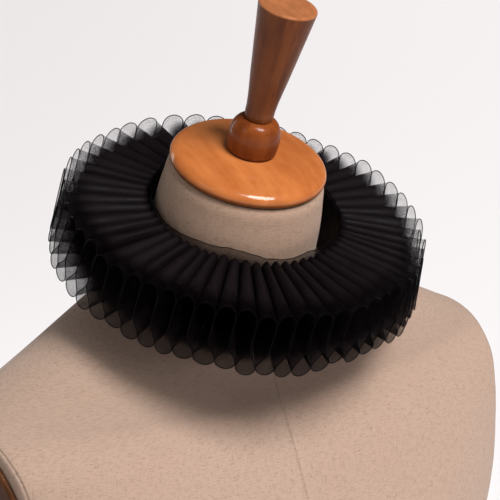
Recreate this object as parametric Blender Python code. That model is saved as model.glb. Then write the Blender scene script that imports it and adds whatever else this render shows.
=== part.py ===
"""A pleated ruff collar of black organza, worn by a limbless dress form.

The collar is one long hemmed strip of organza, folded into upright figure-eight pleats and sewn by its
inner edge to a sheer neckband, which closes at the back with two hooks and eyes. It rests on the neck and
the shoulders of a linen-covered form with a wooden neck cap, a turned handle and two armhole plates.

Metres, +Z up. The form faces -Y and stands on z = 0. The origin is on its underside, straight below the
middle of the neck at the level of the ruff's top.
"""

import math

import bpy
import numpy as np
from mathutils import Matrix

# The clearance that touching pieces keep.
GAP = 0.0003

# Where the middle of the ruff's flat top lies, how far ruff and neck lean forward, and how far both lean to
# the wearer's left. The ruff is pushed off the neck's line until its band rests on the neck's right side.
RUFF_TOP_HEIGHT = 0.660
RUFF_LEAN = math.radians(16.2)
NECK_LEAN = math.radians(17.2)
SIDE_LEAN = math.radians(2.2)
RUFF_OFF_NECK_X = 0.0038
RUFF_OFF_NECK_Y = -0.0022

# The ruffle strip: a wall through figure-eight folds, denser in front than at the back.
PLEATS = 55
PLEAT_HEIGHT = 0.043
ROOT_RADIUS = 0.068
EDGE_RADIUS = 0.127
LOWER_EDGE_FLARE = 0.004
CLOTH_WALL = 0.0010
# How far round the neck a fold's wall stands from its even place, in folds: the sizes of sines of once,
# twice and more times the wave, counted from the crest. At the hem they give wide arches above troughs that
# are pinched at the neck and open into leaf shapes below.
ROOT_SWING = (0.0, 0.15)
EDGE_SWING = (0.1264, 0.2690, -0.0954, 0.0700, 0.0041, -0.0342, 0.0157, 0.0006, -0.0088)
FRONT_DENSITY = 0.10
BACK_OPENING_HALF_ANGLE = 0.040
RADIAL_ROWS = 3
# Where a fold's wall has its points, in degrees of its wave from the crest.
FOLD_DEGREES = (-58, -38, -18, 0, 18, 38, 58, 108, 124, 140, 160, 180, 200, 220, 236, 252)

# The neckband: a standing strip inside the roots, its upper edge free.
BAND_WALL = 0.0010
BAND_STANDS_ABOVE = 0.006
BAND_SEGMENTS = 96
BAND_HALF_OPENING = 0.0012

# Hook-and-eye closures inside the band, across its opening.
CLOSURE_DEPTHS = (0.004, 0.022)
HOOK_WIRE = 0.0009
EYE_HALF_WIDTH = 0.0030
EYE_LENGTH = 0.0075
HOOK_LENGTH = 0.0095
EYE_BEND_STEPS = 9
HOOK_BEND_STEPS = 7

# The form's sections: height, half width, half depth, middle in y, lean in degrees, squareness.
TORSO_SECTIONS = (
    ("seat edge", 0.000, 0.165, 0.108, 0.014, 0.0, 2.2),
    ("seat", 0.012, 0.173, 0.114, 0.014, 0.0, 2.2),
    ("hip", 0.060, 0.180, 0.120, 0.014, 0.0, 2.2),
    ("high hip", 0.130, 0.175, 0.114, 0.013, 0.0, 2.2),
    ("above hip", 0.200, 0.158, 0.102, 0.012, 0.0, 2.1),
    ("waist", 0.262, 0.148, 0.095, 0.011, 0.0, 2.1),
    ("ribs", 0.320, 0.158, 0.102, 0.005, 0.0, 2.1),
    ("under bust", 0.367, 0.174, 0.110, -0.004, 0.0, 2.2),
    ("bust", 0.402, 0.194, 0.113, -0.009, 0.0, 2.3),
    ("over bust", 0.437, 0.208, 0.108, -0.005, 0.0, 2.4),
    ("armhole foot", 0.469, 0.218, 0.101, 0.001, 0.0, 2.5),
    ("chest", 0.498, 0.227, 0.094, 0.008, 0.0, 2.6),
    ("shoulder end", 0.520, 0.230, 0.087, 0.013, 0.0, 2.6),
    ("shoulder round", 0.534, 0.220, 0.082, 0.016, 0.0, 2.4),
    ("shoulder", 0.547, 0.196, 0.077, 0.017, 1.5, 2.2),
    ("mid shoulder", 0.563, 0.165, 0.073, 0.018, 4.0, 2.1),
    ("inner shoulder", 0.579, 0.136, 0.070, 0.0175, 7.0, 2.0),
    ("neck slope", 0.5925, 0.108, 0.067, 0.017, 10.0, 2.0),
    ("neck foot", 0.6060, 0.085, 0.0635, 0.0155, 13.5, 2.0),
    ("neck turn", 0.6140, 0.0705, 0.0620, 0.0140, 16.0, 2.0),
)
# The neck's rings: distance along its axis above the ruff's top, and radius.
NECK_RINGS = (
    ("under the band", -0.0410, 0.0604),
    ("band foot", -0.0340, 0.0592),
    ("band", -0.0180, 0.0588),
    ("band top", 0.0000, 0.0580),
    ("mid neck", 0.015, 0.0562),
    ("neck top", 0.0285, 0.0535),
    ("cap seat", 0.0300, 0.0525),
)
TORSO_SEGMENTS = 48
# The flats at the armholes: a plane that faces a little downwards and, by its toe, a little forwards. The
# wooden plate on it leans back at its top, and lies below and in front of the plane's middle.
ARM_CUT_X = 0.2010
ARM_CUT_Z = 0.485
ARM_CUT_SLANT = math.radians(-6.0)
ARM_CUT_TOE = math.radians(7.0)
ARM_CUTTER_SIZE = 0.3
ARM_PLATE_HALF_HEIGHT = 0.060
ARM_PLATE_HALF_DEPTH = 0.042
ARM_PLATE_THICKNESS = 0.004
ARM_PLATE_SQUARE_EDGE = 0.0024
ARM_PLATE_FACE_SCALE = 0.96
ARM_PLATE_DOWN = 0.012
ARM_PLATE_Y = -0.009
ARM_PLATE_LEAN = math.radians(-18.0)

# The neck cap and the handle, turned round the neck's axis: height along it and radius.
CAP_PROFILE = (
    (0.0303, 0.0000),
    (0.0303, 0.0515),
    (0.0318, 0.0537),
    (0.0345, 0.0546),
    (0.0372, 0.0537),
    (0.0392, 0.0515),
    (0.0412, 0.0455),
    (0.0432, 0.0350),
    (0.0444, 0.0230),
    (0.0448, 0.0150),
    (0.0448, 0.0000),
)
KNOB_PROFILE = (
    (0.0451, 0.0000),
    (0.0451, 0.0160),
    (0.0458, 0.0166),
    (0.0540, 0.0178),
    (0.0610, 0.0174),
    (0.0665, 0.0152),
    (0.0692, 0.0122),
    (0.0700, 0.0098),
    (0.0700, 0.0000),
)
# The grip stands on the knob, a little to the wearer's left of its line, so it is turned in its own frame.
GRIP_SEAT = 0.0708
GRIP_SIDE_LEAN = math.radians(3.0)
GRIP_PROFILE = (
    (0.0000, 0.0000),
    (0.0000, 0.0096),
    (0.0080, 0.0101),
    (0.0350, 0.0136),
    (0.0650, 0.0176),
    (0.0820, 0.0198),
    (0.0839, 0.0200),
    (0.0846, 0.0190),
    (0.0838, 0.0120),
    (0.0834, 0.0000),
)
TURNED_SEGMENTS = 40

ORGANZA_BLACK = (0.012, 0.009, 0.010, 1.0)
BAND_BLACK = (0.020, 0.016, 0.017, 1.0)
LINEN_BEIGE = (0.560, 0.400, 0.310, 1.0)
CAP_ORANGE = (0.620, 0.190, 0.050, 1.0)
KNOB_BROWN = (0.300, 0.085, 0.025, 1.0)
GRIP_BROWN = (0.130, 0.034, 0.012, 1.0)
PLATE_BROWN = (0.110, 0.040, 0.018, 1.0)
HOOK_BLACK = (0.020, 0.020, 0.022, 1.0)


def clear_scene():
    for obj in list(bpy.data.objects):
        bpy.data.objects.remove(obj, do_unlink=True)


def make_material(name, colour, roughness, metallic=0.0):
    material = bpy.data.materials.new(name)
    material.use_nodes = True
    shader = material.node_tree.nodes["Principled BSDF"]
    shader.inputs["Base Color"].default_value = colour
    shader.inputs["Roughness"].default_value = roughness
    shader.inputs["Metallic"].default_value = metallic
    return material


def add_object(name, points, faces, material, frame=None, smooth_degrees=40.0):
    """A mesh object whose points are given in its own frame, which places it."""
    mesh = bpy.data.meshes.new(name)
    mesh.from_pydata([tuple(map(float, p)) for p in points], [], [tuple(map(int, f)) for f in faces])
    mesh.validate()
    mesh.shade_smooth()
    mesh.set_sharp_from_angle(angle=math.radians(smooth_degrees))
    mesh.materials.append(material)
    obj = bpy.data.objects.new(name, mesh)
    bpy.context.scene.collection.objects.link(obj)
    if frame is not None:
        obj.matrix_world = frame
    return obj


def leaning_frame(lean, shift_x=0.0, shift_y=0.0):
    """Its z axis leans forward by this angle, and its origin is the middle of the ruff's top, moved."""
    place = Matrix.Translation((shift_x, shift_y, RUFF_TOP_HEIGHT))
    return place @ Matrix.Rotation(SIDE_LEAN, 4, "Y") @ Matrix.Rotation(lean, 4, "X")


def fold_angle(folds):
    """The angle round the ruff, 0 in front, at a count of folds from the opening's right-hand side.

    The folds per radian go as 1 + FRONT_DENSITY * cos(angle), which is solved for the angle by iteration.
    """
    even = (2 * math.pi - 2 * BACK_OPENING_HALF_ANGLE) * (np.asarray(folds) / PLEATS - 0.5)
    angle = even.copy()
    for _ in range(20):
        angle = even - FRONT_DENSITY * np.sin(angle)
    return angle


def swing(wave, sizes):
    """The sum of these sizes times the sines of once, twice and more times the wave."""
    return sum(size * np.sin(times * wave) for times, size in enumerate(sizes, start=1))


def strip_section(share, folds):
    """Points of the strip's middle surface, a share of the way from root to edge, at each count of folds.

    Across a fold the strip rises and falls as a cosine of its wave, and its place round the neck swings to
    either side of the even count, which rounds crests and troughs into the loops of a figure eight.
    """
    wave = 2 * math.pi * (folds - 0.25)
    rise = 0.5 * PLEAT_HEIGHT * np.cos(wave)
    radius_root = np.full_like(folds, ROOT_RADIUS)
    radius_edge = EDGE_RADIUS + LOWER_EDGE_FLARE * (0.5 - rise / PLEAT_HEIGHT)
    angle_root = fold_angle(folds + swing(wave, ROOT_SWING))
    angle_edge = fold_angle(folds + swing(wave, EDGE_SWING))
    root = polar(radius_root, angle_root, rise - 0.5 * PLEAT_HEIGHT)
    edge = polar(radius_edge, angle_edge, rise - 0.5 * PLEAT_HEIGHT)
    return root + (edge - root) * share


def polar(radius, angle, height):
    """Points at these angles round the ruff, 0 towards -Y and growing towards +X."""
    return np.stack([radius * np.sin(angle), -radius * np.cos(angle), height + 0 * angle], axis=-1)


def wall_from_grid(grid, thickness):
    """A closed wall round a grid of points [row, column, xyz]: both faces, and a rim on all four sides."""
    along = np.gradient(grid, axis=1)
    across = np.gradient(grid, axis=0)
    normal = np.cross(across, along)
    normal /= np.linalg.norm(normal, axis=2, keepdims=True)
    rows, columns = grid.shape[:2]
    points = np.concatenate([grid + normal * thickness / 2, grid - normal * thickness / 2]).reshape(-1, 3)
    index = np.arange(2 * rows * columns).reshape(2, rows, columns)
    front, back = index
    faces = [quads(front[:-1, :-1], front[1:, :-1], front[1:, 1:], front[:-1, 1:])]
    faces.append(quads(back[:-1, :-1], back[:-1, 1:], back[1:, 1:], back[1:, :-1]))
    rim_front = np.concatenate([front[0], front[1:, -1], front[-1, -2::-1], front[-2:0:-1, 0]])
    rim_back = np.concatenate([back[0], back[1:, -1], back[-1, -2::-1], back[-2:0:-1, 0]])
    next_front = np.roll(rim_front, -1)
    next_back = np.roll(rim_back, -1)
    faces.append(quads(rim_front, next_front, next_back, rim_back))
    return points, np.concatenate(faces)


def quads(a, b, c, d):
    return np.stack([np.ravel(a), np.ravel(b), np.ravel(c), np.ravel(d)], axis=1)


def build_ruffle_strip(material, frame):
    folds = (np.arange(PLEATS)[:, None] + 0.25 + np.array(FOLD_DEGREES) / 360.0).ravel()
    shares = np.linspace(0.0, 1.0, RADIAL_ROWS)
    grid = np.array([strip_section(share, folds) for share in shares])
    points, faces = wall_from_grid(grid, CLOTH_WALL)
    return add_object("ruffle_strip", points, faces, material, frame, 70.0)


def band_middle_radius():
    return ROOT_RADIUS - GAP - BAND_WALL / 2


def build_neckband(material, frame):
    radius = band_middle_radius()
    half_gap = BAND_HALF_OPENING / radius
    angles = np.linspace(-math.pi + half_gap, math.pi - half_gap, BAND_SEGMENTS + 1)
    heights = (-PLEAT_HEIGHT, BAND_STANDS_ABOVE)
    grid = np.array([polar(radius, angles, height) for height in heights])
    points, faces = wall_from_grid(grid, BAND_WALL)
    return add_object("neckband", points, faces, material, frame)


def build_wire(name, route, material, frame):
    """A closed wire of round section along a smooth route, with flat ends."""
    curve = bpy.data.curves.new(name, "CURVE")
    curve.dimensions = "3D"
    curve.bevel_depth = HOOK_WIRE / 2
    curve.bevel_resolution = 1
    curve.use_fill_caps = True
    spline = curve.splines.new("POLY")
    spline.points.add(len(route) - 1)
    for point, place in zip(spline.points, route):
        point.co = (*place, 1.0)
    curve.materials.append(material)
    obj = bpy.data.objects.new(name, curve)
    obj.matrix_world = frame
    bpy.context.scene.collection.objects.link(obj)
    return obj


def half_turn(centre_x, centre_z, radius, start_degrees, steps):
    """Points of half a circle in the x-z plane."""
    angles = np.radians(start_degrees) + np.linspace(0.0, math.pi, steps)
    return [(centre_x + radius * math.cos(a), 0.0, centre_z + radius * math.sin(a)) for a in angles]


def build_closures(material, frame):
    """Hooks on the wearer's left end of the band and eyes on the right, flat on its inner face."""
    inner_face_y = band_middle_radius() - BAND_WALL / 2
    sagitta = inner_face_y - math.sqrt(inner_face_y**2 - HOOK_LENGTH**2)
    for level, depth in zip(("upper", "lower"), CLOSURE_DEPTHS):
        eye_y = inner_face_y - sagitta - GAP - HOOK_WIRE / 2
        eye_frame = frame @ Matrix.Translation((0.0, eye_y, -depth))
        eye = half_turn(0.0, 0.0, EYE_HALF_WIDTH, -90.0, EYE_BEND_STEPS)
        eye = [(-EYE_LENGTH, 0.0, -EYE_HALF_WIDTH)] + eye + [(-EYE_LENGTH, 0.0, EYE_HALF_WIDTH)]
        build_wire("eye_" + level, eye, material, eye_frame)
        hook_y = eye_y - HOOK_WIRE - GAP
        hook_frame = frame @ Matrix.Translation((0.0, hook_y, -depth))
        bend = HOOK_WIRE
        hook = half_turn(0.0, 0.0, bend, 90.0, HOOK_BEND_STEPS)
        hook = [(HOOK_LENGTH, 0.0, bend)] + hook + [(HOOK_LENGTH, 0.0, -bend)]
        build_wire("hook_" + level, hook, material, hook_frame)


def ring_points(half_width, half_depth, squareness, segments):
    """A superellipse in the x-y plane: squareness 2 is an ellipse, more is squarer."""
    angle = np.arange(segments) * 2 * math.pi / segments
    power = 2.0 / squareness
    x = half_width * np.sign(np.cos(angle)) * np.abs(np.cos(angle)) ** power
    y = half_depth * np.sign(np.sin(angle)) * np.abs(np.sin(angle)) ** power
    return np.stack([x, y, 0 * angle], axis=1)


def leaned(points, degrees, middle_y, height):
    """The ring turned about x, its front downwards, and moved to its middle."""
    lean = math.radians(degrees)
    y = points[:, 1] * math.cos(lean)
    z = points[:, 1] * math.sin(lean)
    return np.stack([points[:, 0], y + middle_y, z + height], axis=1)


def torso_rings():
    rings = []
    for _, height, half_width, half_depth, middle_y, lean, squareness in TORSO_SECTIONS:
        ring = ring_points(half_width, half_depth, squareness, TORSO_SEGMENTS)
        rings.append(leaned(ring, lean, middle_y, height))
    neck = np.array(leaning_frame(NECK_LEAN))
    for _, along, radius in NECK_RINGS:
        ring = ring_points(radius, radius, 2.0, TORSO_SEGMENTS)
        ring[:, 2] = along
        rings.append(ring @ neck[:3, :3].T + neck[:3, 3])
    return rings


def skin_rings(rings):
    """Quads between neighbouring rings, and a flat face at each end."""
    points = np.concatenate(rings)
    index = np.arange(len(points)).reshape(len(rings), -1)
    after = np.roll(index, -1, axis=1)
    sides = quads(index[:-1], after[:-1], after[1:], index[1:])
    return points, [tuple(face) for face in sides] + [tuple(index[0][::-1]), tuple(index[-1])]


def arm_cut_frame(side):
    """The plane that cuts a shoulder's side flat: its z axis points outwards, and its x axis up or down."""
    turn = Matrix.Rotation(-side * ARM_CUT_TOE, 4, "Z")
    turn = turn @ Matrix.Rotation(side * (math.pi / 2 - ARM_CUT_SLANT), 4, "Y")
    return Matrix.Translation((side * ARM_CUT_X, 0.0, ARM_CUT_Z)) @ turn


def build_torso(material):
    points, faces = skin_rings(torso_rings())
    torso = add_object("form_torso", points, faces, material, None, 50.0)
    for side, name in ((1, "left"), (-1, "right")):
        bpy.ops.mesh.primitive_cube_add(size=ARM_CUTTER_SIZE)
        cutter = bpy.context.active_object
        cutter.name = "cutter_armhole_" + name
        cutter.data.transform(Matrix.Translation((0.0, 0.0, ARM_CUTTER_SIZE / 2)))
        cutter.matrix_world = arm_cut_frame(side)
        cutter.hide_render = True
        cutter.display_type = "WIRE"
        cut = torso.modifiers.new("armhole " + name, "BOOLEAN")
        cut.operation = "DIFFERENCE"
        cut.object = cutter
    return torso


def build_armhole_plate(name, side, material):
    """An oval wooden plate on the flat side of a shoulder."""
    outline = ring_points(ARM_PLATE_HALF_HEIGHT, ARM_PLATE_HALF_DEPTH, 2.0, TORSO_SEGMENTS)
    steps = ((GAP, 1.0), (ARM_PLATE_SQUARE_EDGE, 1.0), (ARM_PLATE_THICKNESS, ARM_PLATE_FACE_SCALE))
    rings = [outline * scale + np.array([0.0, 0.0, height]) for height, scale in steps]
    points, faces = skin_rings(rings)
    frame = arm_cut_frame(side) @ Matrix.Translation((side * ARM_PLATE_DOWN, ARM_PLATE_Y, 0.0))
    frame = frame @ Matrix.Rotation(side * ARM_PLATE_LEAN, 4, "Z")
    return add_object(name, points, faces, material, frame)


def build_turned(name, profile, material, frame, smooth_degrees=45.0):
    """A solid of revolution round z through its profile of (height, radius)."""
    rings = []
    for height, radius in profile[1:-1]:
        ring = ring_points(radius, radius, 2.0, TURNED_SEGMENTS)
        rings.append(ring + np.array([0.0, 0.0, height]))
    points, faces = skin_rings(rings)
    return add_object(name, points, faces, material, frame, smooth_degrees)


def main():
    clear_scene()
    organza = make_material("organza_black", ORGANZA_BLACK, 0.75)
    band_cloth = make_material("band_organza", BAND_BLACK, 0.75)
    linen = make_material("form_linen", LINEN_BEIGE, 0.90)
    cap_wood = make_material("cap_wood", CAP_ORANGE, 0.15)
    knob_wood = make_material("knob_wood", KNOB_BROWN, 0.20)
    grip_wood = make_material("grip_wood", GRIP_BROWN, 0.20)
    plate_wood = make_material("plate_wood", PLATE_BROWN, 0.30)
    hook_metal = make_material("hook_metal", HOOK_BLACK, 0.40, 0.8)

    ruff_frame = leaning_frame(RUFF_LEAN, RUFF_OFF_NECK_X, RUFF_OFF_NECK_Y)
    neck_frame = leaning_frame(NECK_LEAN)
    build_ruffle_strip(organza, ruff_frame)
    build_neckband(band_cloth, ruff_frame)
    build_closures(hook_metal, ruff_frame)
    build_torso(linen)
    build_armhole_plate("armhole_plate_left", 1, plate_wood)
    build_armhole_plate("armhole_plate_right", -1, plate_wood)
    build_turned("neck_cap", CAP_PROFILE, cap_wood, neck_frame)
    build_turned("handle_knob", KNOB_PROFILE, knob_wood, neck_frame)
    grip_frame = neck_frame @ Matrix.Translation((0.0, 0.0, GRIP_SEAT))
    grip_frame = grip_frame @ Matrix.Rotation(GRIP_SIDE_LEAN, 4, "Y")
    build_turned("handle_grip", GRIP_PROFILE, grip_wood, grip_frame)


main()
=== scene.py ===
"""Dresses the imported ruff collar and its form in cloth, thread, wood and light.

Run as a script in Blender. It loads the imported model, then makes the sheer pleated ruffle with its rolled
hem, the neckband, the hooks and eyes, the linen cover of the form, the turned cap and handle and the
armhole plates, and sets up a plain studio. Metres, +Z up.
"""

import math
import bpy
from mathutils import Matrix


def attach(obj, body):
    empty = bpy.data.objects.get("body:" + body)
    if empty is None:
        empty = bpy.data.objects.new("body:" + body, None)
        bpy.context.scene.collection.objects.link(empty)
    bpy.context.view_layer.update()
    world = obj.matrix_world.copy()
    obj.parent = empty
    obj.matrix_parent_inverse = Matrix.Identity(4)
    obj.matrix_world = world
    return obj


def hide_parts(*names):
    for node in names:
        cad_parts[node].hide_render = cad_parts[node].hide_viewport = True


bl_info = {
    "name": "Pleated Ruff Collar on a Dress Form",
    "version": (1, 0, 0),
    "blender": (4, 5, 0),
    "location": "View3D > Sidebar > Ruff Collar",
    "description": "Makes a pleated organza ruff, the form that wears it and a plain studio",
    "category": "Add Mesh",
}

import bpy
import numpy as np
from mathutils import Matrix, Vector

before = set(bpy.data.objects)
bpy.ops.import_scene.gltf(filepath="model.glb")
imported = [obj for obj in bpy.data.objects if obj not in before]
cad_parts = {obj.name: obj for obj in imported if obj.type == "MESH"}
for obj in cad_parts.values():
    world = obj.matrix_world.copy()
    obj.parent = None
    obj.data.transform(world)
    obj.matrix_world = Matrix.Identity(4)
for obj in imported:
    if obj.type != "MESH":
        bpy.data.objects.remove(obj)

MILLIMETRE = 0.001
SHARP_ANGLE = math.radians(50)
# Rows worked out for each row of a table and of a turned profile.
TABLE_ROWS, PROFILE_ROWS = 40, 10
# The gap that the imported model's pieces keep at their seams.
SEAM_GAP = 0.0003

# Where the middle of the ruff's flat top lies, how far it is off the neck's line, and how both lean.
RUFF_TOP_HEIGHT = 0.66
RUFF_OFF_NECK = (0.0038, -0.0022)
RUFF_LEAN = math.radians(16.2)
NECK_LEAN = math.radians(17.2)
SIDE_LEAN = math.radians(2.2)

# The ruffle's grid, and its hem's sides.
COLUMNS_PER_FOLD = 36
RUFFLE_ROWS = 13
HEM_SIDES = 6
# How far round the neck a pleat's wall stands from its even place, in folds: the sizes of sines of once,
# twice and more times its wave, counted from the crest. They give wide arches above pinched troughs that
# open into leaf shapes below.
PLEAT_SWING = (0.1264, 0.269, -0.0954, 0.07, 0.0041, -0.0342, 0.0157, 0.0006, -0.0088)
# How the pleats, set by hand, differ from an even ring: degrees round the neck from the front, how far the
# crests and the troughs have drifted along the ring, in folds, and how far the hem hangs down at the crests
# and at the troughs, in millimetres.
HEM_DRIFT = (
    (-180.0, -0.22, -0.22, 0.0, 0.0), (-165.0, -0.03, -0.03, 0.0, 0.4), (-145.0, 0.05, 0.1, 0.2, 1.2),
    (-127.0, 0.0, -0.08, 0.0, 1.0), (-112.0, 0.06, -0.28, 0.2, 4.2), (-97.0, 0.24, -0.07, 0.5, 3.4),
    (-84.0, 0.33, 0.0, 1.2, 5.8), (-71.0, 0.3, 0.15, 3.2, 4.4), (-60.0, 0.22, 0.1, 3.0, 4.8),
    (-48.0, 0.08, -0.12, 2.8, 4.8), (-36.0, 0.12, -0.05, 1.8, 4.6), (-22.0, 0.23, -0.06, 6.0, 6.4),
    (-12.0, 0.16, -0.22, 3.6, 6.5), (-2.0, 0.22, -0.24, 3.6, 3.2), (9.0, 0.32, -0.36, 1.6, 1.0),
    (18.0, 0.2, -0.24, 0.2, 2.0), (27.0, 0.28, -0.06, 1.2, 4.4), (40.0, 0.0, 0.1, 4.0, 5.5),
    (58.0, -0.62, -0.45, 2.0, 3.0), (70.0, -0.62, -0.55, 1.0, 1.5), (82.0, -0.28, -0.4, 0.5, 1.2),
    (93.0, 0.0, -0.12, 0.0, 1.0), (106.0, 0.14, 0.02, 0.0, 0.6), (120.0, 0.05, 0.1, 0.3, 1.0),
    (150.0, 0.0, -0.06, 0.0, 0.8), (180.0, 0.22, 0.22, 0.0, 0.0),
)
# How much each crest and trough differs besides, in metres, or in folds for the two places.
OWN_DIFFERENCES = {"height": 0.0007, "reach": 0.0009, "place": 0.016, "root place": 0.008, "sag": 0.0004,
                   "wander": 0.0007, "root height": 0.0007}
DIFFERENCE_SEED = 17
MOST_DEVIATION = 1.8
# How far walls sink between root and hem, and how far the crests' roots are sewn lower round an angle.
EVEN_SAG = 0.0002
LOW_ROOT_DROP = 0.0018
LOW_ROOT_ANGLE = -0.45

# Sheer cloth: a thread's share of the pitch, then the film of fibre between threads: its share inwards, the
# two places across the cloth between which it thins, and its share at the free edge, for the troughs both
# at the back and in front. The troughs' extra film, most of all in front, is painted shade: it darkens the
# leaf loops, which are seen at a slant over the form's shadow, though the cloth is the same all round.
RUFFLE_COVER, BAND_COVER = 0.105, 0.16
RUFFLE_FILM = (0.95, 0.038, 0.055, 0.0)
TROUGH_SHADE_FILM = (0.95, 0.038, 0.0515, 0.19, 0.4)
BAND_FILM = (0.75, 0.034, 0.044, 0.22)
# The middle, reach to either side and fading edge of what counts as front, in degrees: there the troughs'
# painted shade is darkest.
FRONT_MIDDLE, FRONT_REACH, FRONT_FADE = -15.0, 75.0, 45.0

# The neckband's grid, half its opening at the back and its cut width.
BAND_COLUMNS, BAND_ROWS = 721, 14
BAND_HALF_OPENING = 0.0012
# Its hem's radius and its thread's pitch, as shares of the ruffle's.
BAND_HEM_SHARE, BAND_PITCH_SHARE = 0.95, 0.9
# The neckband's free edge: degrees round the neck from the front, and its height in millimetres.
BAND_EDGE = (
    (-180.0, 4.6), (-150.0, 3.4), (-125.0, 4.4), (-100.0, 1.4), (-77.5, -0.4), (-67.0, 1.0), (-58.0, 1.7),
    (-47.5, 2.5), (-41.0, 4.0), (-34.5, 3.5), (-29.0, 2.3), (-25.0, 1.7), (-19.5, -0.2), (-14.5, -0.9),
    (-9.5, -1.2), (-5.0, -1.0), (0.0, -0.4), (4.0, 0.6), (7.0, 2.0), (12.5, 1.3), (19.5, 0.6), (35.0, 2.2),
    (52.0, 3.6), (75.0, 2.0), (96.0, 3.8), (120.0, 2.6), (150.0, 4.2), (180.0, 4.6),
)
# Small waves of that edge's height and of the free band's radius: size, count round the neck and phase.
BAND_EDGE_WAVES = ((0.00018, 23, 1.0), (0.00014, 41, 0.0))
BAND_FREE_WAVES = ((0.0003, 9, 0.4), (0.00022, 17, 2.0))
BAND_FREE_FROM, BAND_FREE_OVER = -0.003, 0.008
# Tacking stitches: each row's folds past a crest and height, and a bar's measures.
STITCH_ROWS = ((0.0, -0.0032), (0.0, -0.0082), (0.5, -0.0345), (0.5, -0.0395))
STITCH_HALF_LENGTH, STITCH_SLANT, STITCH_RADIUS = 0.0012, 0.0008, 0.00014
STITCH_INSIDE, STITCH_BULGE = 0.0001, 0.00018
STITCH_POINTS, STITCH_SIDES = 7, 5

# Hook-and-eye wires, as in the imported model.
CLOSURE_DEPTHS = (0.004, 0.022)
HOOK_LENGTH = 0.0095
EYE_LENGTH = 0.0075
EYE_HALF_WIDTH = 0.003
WIRE_RADIUS = 0.00045
WIRE_SIDES, BEND_POINTS, LEG_POINTS = 10, 25, 9
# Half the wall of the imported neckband, inside which the wires lie.
PACKED_BAND_HALF_WALL = 0.0005

# The form's sections: height, half width, half depth, middle in y, lean in degrees, squareness.
FORM_SECTIONS = (
    (0.0, 0.165, 0.108, 0.014, 0.0, 2.2), (0.012, 0.173, 0.114, 0.014, 0.0, 2.2),
    (0.06, 0.18, 0.12, 0.014, 0.0, 2.2), (0.13, 0.175, 0.114, 0.013, 0.0, 2.2),
    (0.2, 0.158, 0.102, 0.012, 0.0, 2.1), (0.262, 0.148, 0.095, 0.011, 0.0, 2.1),
    (0.32, 0.158, 0.102, 0.005, 0.0, 2.1), (0.367, 0.174, 0.11, -0.004, 0.0, 2.2),
    (0.402, 0.194, 0.113, -0.009, 0.0, 2.3), (0.437, 0.208, 0.108, -0.005, 0.0, 2.4),
    (0.469, 0.218, 0.101, 0.001, 0.0, 2.5), (0.498, 0.227, 0.094, 0.008, 0.0, 2.6),
    (0.52, 0.23, 0.087, 0.013, 0.0, 2.6), (0.534, 0.22, 0.082, 0.016, 0.0, 2.4),
    (0.547, 0.196, 0.077, 0.017, 1.5, 2.2), (0.563, 0.165, 0.073, 0.018, 4.0, 2.1),
    (0.579, 0.136, 0.07, 0.0175, 7.0, 2.0), (0.5925, 0.108, 0.067, 0.017, 10.0, 2.0),
    (0.606, 0.085, 0.0635, 0.0155, 13.5, 2.0), (0.614, 0.0705, 0.062, 0.014, 16.0, 2.0),
)
# The neck's rings: distance along its axis above the ruff's top, and radius.
NECK_RINGS = (
    (-0.041, 0.0604), (-0.034, 0.0592), (-0.018, 0.0588), (0.0, 0.058), (0.015, 0.0562),
    (0.0285, 0.0535), (0.03, 0.0525),
)
FORM_COLUMNS, FORM_ROWS = 240, 300
# The flats at the armholes, their rim's rounding, and the heights over which they start.
ARM_CUT_X, ARM_CUT_Z = 0.201, 0.485
ARM_CUT_SLANT, ARM_CUT_TOE = math.radians(-6.0), math.radians(7.0)
ARM_RIM_RADIUS = 0.0022
ARM_CUT_FROM, ARM_CUT_OVER = 0.34, 0.04
# Seams: how far inside the armhole's plane and above what height, how far off the middle in front and up
# to what height, and how far back at the sides.
ARM_SEAM_INSIDE, ARM_SEAM_FROM = 0.0012, 0.4
FRONT_SEAM_OFF, FRONT_SEAM_TOP, FRONT_SEAM_FADE = 0.008, 0.6, 0.006
SIDE_SEAM_BACK = 0.024
# Further from a seam than any seam is drawn.
NO_SEAM = 1.0

# The armhole plates: half height, half depth and thickness, where their rims start to round, and their place.
ARM_PLATE_SIZE = (0.06, 0.042, 0.004)
ARM_PLATE_SQUARE_EDGE = 0.002
ARM_PLATE_COLUMNS = 96
ARM_PLATE_DOWN, ARM_PLATE_Y, ARM_PLATE_LEAN = 0.012, -0.009, math.radians(-18.0)

# Turned profiles as height and radius: the cap and knob above the ruff's top, and the grip above its seat.
CAP_PROFILE = (
    (0.0303, 0.048), (0.0304, 0.0505), (0.031, 0.0525), (0.032, 0.0538), (0.0345, 0.0546),
    (0.0372, 0.0537), (0.0392, 0.0515), (0.0412, 0.0455), (0.0432, 0.035), (0.0444, 0.023),
    (0.0448, 0.012), (0.0449, 0.0008),
)
KNOB_PROFILE = (
    (0.045, 0.01), (0.045, 0.0155), (0.0458, 0.0166), (0.0495, 0.0174), (0.054, 0.0178),
    (0.058, 0.0178), (0.0615, 0.0173), (0.0645, 0.0163), (0.0672, 0.0146), (0.0692, 0.0122),
    (0.07, 0.0098), (0.07, 0.004),
)
GRIP_PROFILE = (
    (0.0, 0.006), (0.0, 0.0092), (0.0015, 0.0097), (0.008, 0.0101), (0.035, 0.0136),
    (0.065, 0.0176), (0.08, 0.0196), (0.0822, 0.0199), (0.0838, 0.0199), (0.0845, 0.0193),
    (0.0846, 0.0183), (0.0841, 0.014), (0.0836, 0.007), (0.0834, 0.0008),
)
GRIP_SEAT = 0.0703
GRIP_SIDE_LEAN = math.radians(3.0)
TURNED_COLUMNS = 112
# The cap darkens downwards between these heights, a painted shade and painted reflection of the black ruff
# on its down-facing rim, and the grip's cut end starts at this one.
CAP_PAINTED_SHADE = (0.032, 0.0366)
GRIP_END = 0.0832

# The linen's thread pitches across v and u, and the drawn seams' half widths.
LINEN_WEFT_PITCH, LINEN_WARP_PITCH = 0.00085, 0.00095
SEAM_WIDTHS = (("X", 0.0006), ("Y", 0.0006), ("Z", 0.0007))
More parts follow.
